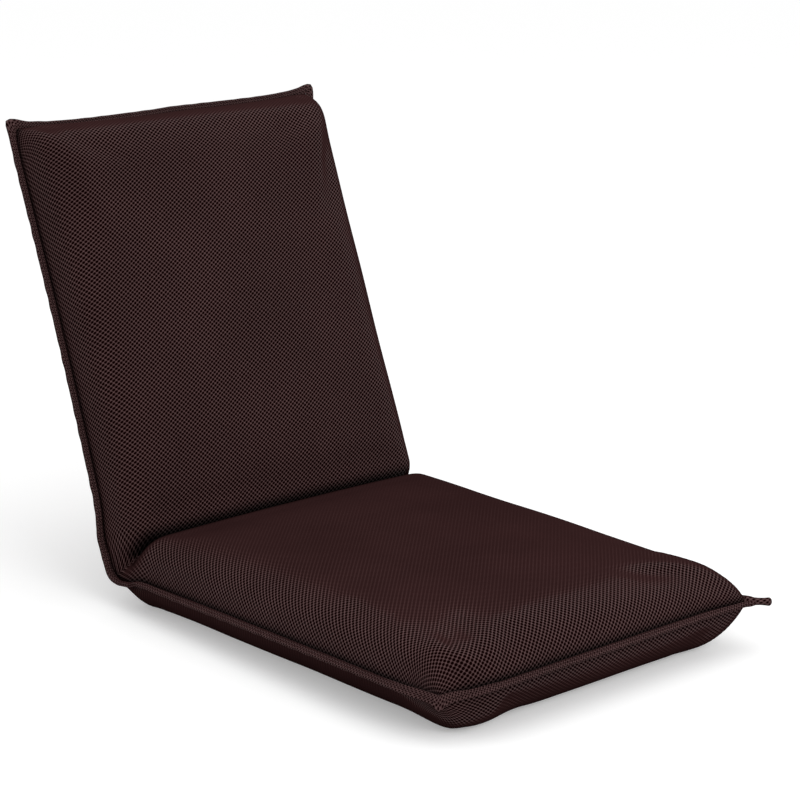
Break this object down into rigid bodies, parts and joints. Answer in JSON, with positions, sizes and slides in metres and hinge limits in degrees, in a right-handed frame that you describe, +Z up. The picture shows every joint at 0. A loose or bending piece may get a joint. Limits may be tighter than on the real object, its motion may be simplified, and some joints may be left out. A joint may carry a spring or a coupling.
{
  "type": "folding floor chair",
  "caption": "Legless floor chair with a padded seat and a padded backrest in one mesh cover, joined by ratchet hinges so that it reclines flat or folds shut.",
  "frame": {"origin": "on the floor under the middle of the seat, halfway between its hinge seam and its front seam", "axes": "+Z up, +Y toward the backrest, so the chair's front is toward -Y; +X to the right as seen from the front"},
  "size_m": [0.4652, 0.7544, 0.5061],
  "materials": {
    "mesh_cover": "matte knit air mesh",
    "seam_flange": "matte, top-stitched",
    "foam": "open-cell foam",
    "webbing": "woven elastic",
    "frame_steel": "satin powder coat",
    "hinge_steel": "zinc-plated",
    "rivet_steel": "bright zinc-plated",
    "spring_steel": "oiled spring wire"
  },
  "bodies": {
    "seat": {"seat_frame_tube": "frame_steel", "seat_cross_tube": "frame_steel", "seat_bands": "webbing", "seat_lower_foam": "foam", "seat_upper_foam": "foam", "seat_cover_top": "mesh_cover", "seat_cover_bottom": "mesh_cover", "seat_seam_flange": "seam_flange", "hinge_cover": "mesh_cover", "seat_arm_rivets": "rivet_steel", "left_inner_cheek": "hinge_steel", "left_outer_cheek": "hinge_steel", "left_pivot_rivet": "rivet_steel", "left_pawl_pin": "rivet_steel", "left_spring_post": "rivet_steel", "left_pawl_spring": "spring_steel", "right_inner_cheek": "hinge_steel", "right_outer_cheek": "hinge_steel", "right_pivot_rivet": "rivet_steel", "right_pawl_pin": "rivet_steel", "right_spring_post": "rivet_steel", "right_pawl_spring": "spring_steel"},
    "backrest": {"back_frame_tube": "frame_steel", "back_cross_tube": "frame_steel", "back_bands": "webbing", "back_rear_foam": "foam", "back_front_foam": "foam", "back_cover_front": "mesh_cover", "back_cover_rear": "mesh_cover", "back_seam_flange": "seam_flange", "back_arm_rivets": "rivet_steel", "left_toothed_arm": "hinge_steel", "right_toothed_arm": "hinge_steel"},
    "left_disc": {"left_release_disc": "hinge_steel"},
    "left_pawl": {"left_pawl": "hinge_steel"},
    "right_disc": {"right_release_disc": "hinge_steel"},
    "right_pawl": {"right_pawl": "hinge_steel"}
  },
  "joints": [
    {"name": "recline", "type": "hinge", "parent": "seat", "child": "backrest", "pos_m": [0, 0.253, 0.05], "axis": [-1, 0, 0], "range_deg": [-90, 67.5], "deforming": ["seat_upper_foam", "seat_cover_top", "back_front_foam", "back_cover_front", "hinge_cover"]},
    {"name": "left_disc_turn", "type": "hinge", "parent": "seat", "child": "left_disc", "pos_m": [-0.16, 0.253, 0.05], "axis": [-1, 0, 0], "range_deg": [0, 28]},
    {"name": "left_pawl_swing", "type": "hinge", "parent": "seat", "child": "left_pawl", "pos_m": [-0.16, 0.233, 0.0625], "axis": [1, 0, 0], "range_deg": [0, 14], "deforming": ["left_pawl_spring"]},
    {"name": "right_disc_turn", "type": "hinge", "parent": "seat", "child": "right_disc", "pos_m": [0.16, 0.253, 0.05], "axis": [-1, 0, 0], "range_deg": [0, 28]},
    {"name": "right_pawl_swing", "type": "hinge", "parent": "seat", "child": "right_pawl", "pos_m": [0.16, 0.233, 0.0625], "axis": [1, 0, 0], "range_deg": [0, 14], "deforming": ["right_pawl_spring"]}
  ],
  "couplings": [
    {"joint": "left_pawl_swing", "follows": "left_disc_turn", "ratio": 0.5},
    {"joint": "right_pawl_swing", "follows": "right_disc_turn", "ratio": 0.5}
  ]
}
